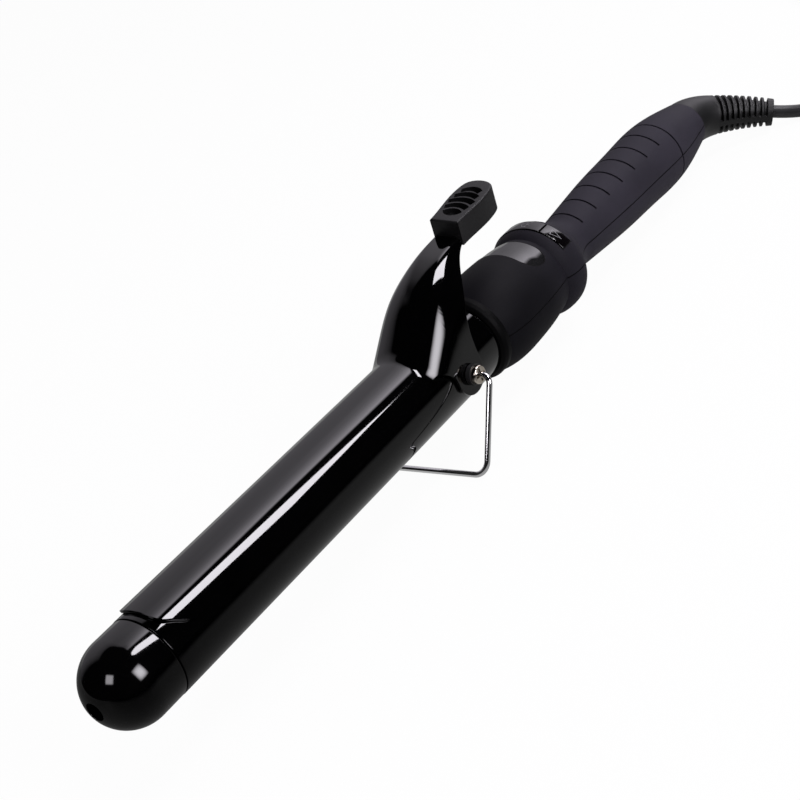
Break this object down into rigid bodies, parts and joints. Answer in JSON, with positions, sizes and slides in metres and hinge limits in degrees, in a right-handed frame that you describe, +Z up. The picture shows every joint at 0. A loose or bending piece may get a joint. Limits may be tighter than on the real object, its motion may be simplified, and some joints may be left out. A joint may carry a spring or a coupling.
{
  "type": "curling iron",
  "caption": "Hair curling iron with a round heated barrel, sprung clip with thumb tab, fold-out wire stand, two-shell handle with keys and a swivelling mains cord.",
  "frame": {"origin": "on the table, under the middle of the iron's length, with the iron resting on its stand and its cord", "axes": "+X along the iron toward the handle and cord, +Z up, the seen screw and the cord's bend on -Y"},
  "size_m": [0.678, 0.0985, 0.08],
  "materials": {
    "barrel_coating": "glossy black enamel",
    "tip_plastic": "satin black heat-proof plastic",
    "soft_touch": "soft-touch matte black",
    "key_gloss": "gloss dark grey",
    "window": "grey gloss window",
    "nickel": "polished nickel",
    "bush_plastic": "black plastic",
    "steel": "plain steel",
    "spreader_alloy": "extruded alloy",
    "heater_white": "white ceramic, sintered",
    "lead_sleeve": "silicone sleeve",
    "fuse_case": "metal case",
    "board_green": "glass-fibre board",
    "contact_brass": "bright brass",
    "boot_rubber": "matte black rubber",
    "cord_rubber": "black cord jacket"
  },
  "bodies": {
    "iron": {"barrel_tube": "barrel_coating", "tip_cap": "tip_plastic", "front_rim_ring": "tip_plastic", "handle_upper_shell": "soft_touch", "handle_lower_shell": "soft_touch", "display_lens": "window", "pivot_screw_near": "nickel", "pivot_screw_far": "nickel", "pivot_bush_near": "bush_plastic", "pivot_bush_far": "bush_plastic", "barrel_bush": "bush_plastic", "switch_strip": "bush_plastic", "brush_holder": "bush_plastic", "pivot_bar": "steel", "tip_screw": "steel", "tip_anchor": "steel", "clip_spring": "steel", "spring_rivet": "steel", "shell_screw_front": "steel", "shell_screw_rear": "steel", "spreader_upper": "spreader_alloy", "spreader_lower": "spreader_alloy", "heater_plate": "heater_white", "thermistor": "heater_white", "heater_lead_near": "lead_sleeve", "heater_lead_far": "lead_sleeve", "thermal_fuse": "fuse_case", "control_board": "board_green", "display_module": "board_green", "brush_front": "contact_brass", "brush_rear": "contact_brass", "plug_pin_a": "contact_brass", "plug_pin_b": "contact_brass", "power_cord": "cord_rubber", "cord_coil": "cord_rubber", "plug_body": "cord_rubber", "cord_tie": "cord_rubber"},
    "clip": {"clip_plate": "barrel_coating", "thumb_tab": "tip_plastic"},
    "stand": {"stand_wire": "nickel"},
    "key_down": {"key_down": "key_gloss"},
    "key_power": {"key_power": "key_gloss"},
    "key_up": {"key_up": "key_gloss"},
    "cord_exit": {"strain_relief": "boot_rubber", "swivel_rotor": "bush_plastic", "slip_ring_front": "contact_brass", "slip_ring_rear": "contact_brass"}
  },
  "joints": [
    {"name": "clip_hinge", "type": "hinge", "parent": "iron", "child": "clip", "pos_m": [-0.01056, 0, 0.03168], "axis": [0, 1, 0], "range_deg": [0, 17], "stiffness_Nm_per_rad": 0.3, "springref_deg": -45.84, "deforming": ["clip_spring"]},
    {"name": "stand_hinge", "type": "hinge", "parent": "iron", "child": "stand", "pos_m": [-0.01056, 0, 0.03168], "axis": [0, 1, 0], "range_deg": [-88, 28]},
    {"name": "key_down_press", "type": "slide", "parent": "iron", "child": "key_down", "axis": [-0.0427, -0.6494, -0.7592], "range_m": [0, 0.0005], "stiffness_N_per_m": 2000, "springref_m": -0.0005},
    {"name": "key_power_press", "type": "slide", "parent": "iron", "child": "key_power", "axis": [-0.0561, 0, -0.9984], "range_m": [0, 0.0005], "stiffness_N_per_m": 2000, "springref_m": -0.0005},
    {"name": "key_up_press", "type": "slide", "parent": "iron", "child": "key_up", "axis": [-0.0427, 0.6494, -0.7592], "range_m": [0, 0.0005], "stiffness_N_per_m": 2000, "springref_m": -0.0005},
    {"name": "cord_swivel", "type": "hinge", "parent": "iron", "child": "cord_exit", "pos_m": [0.2038, 0, 0.01963], "axis": [0.9984, 0, -0.0561], "continuous": true, "deforming": ["power_cord"]}
  ]
}
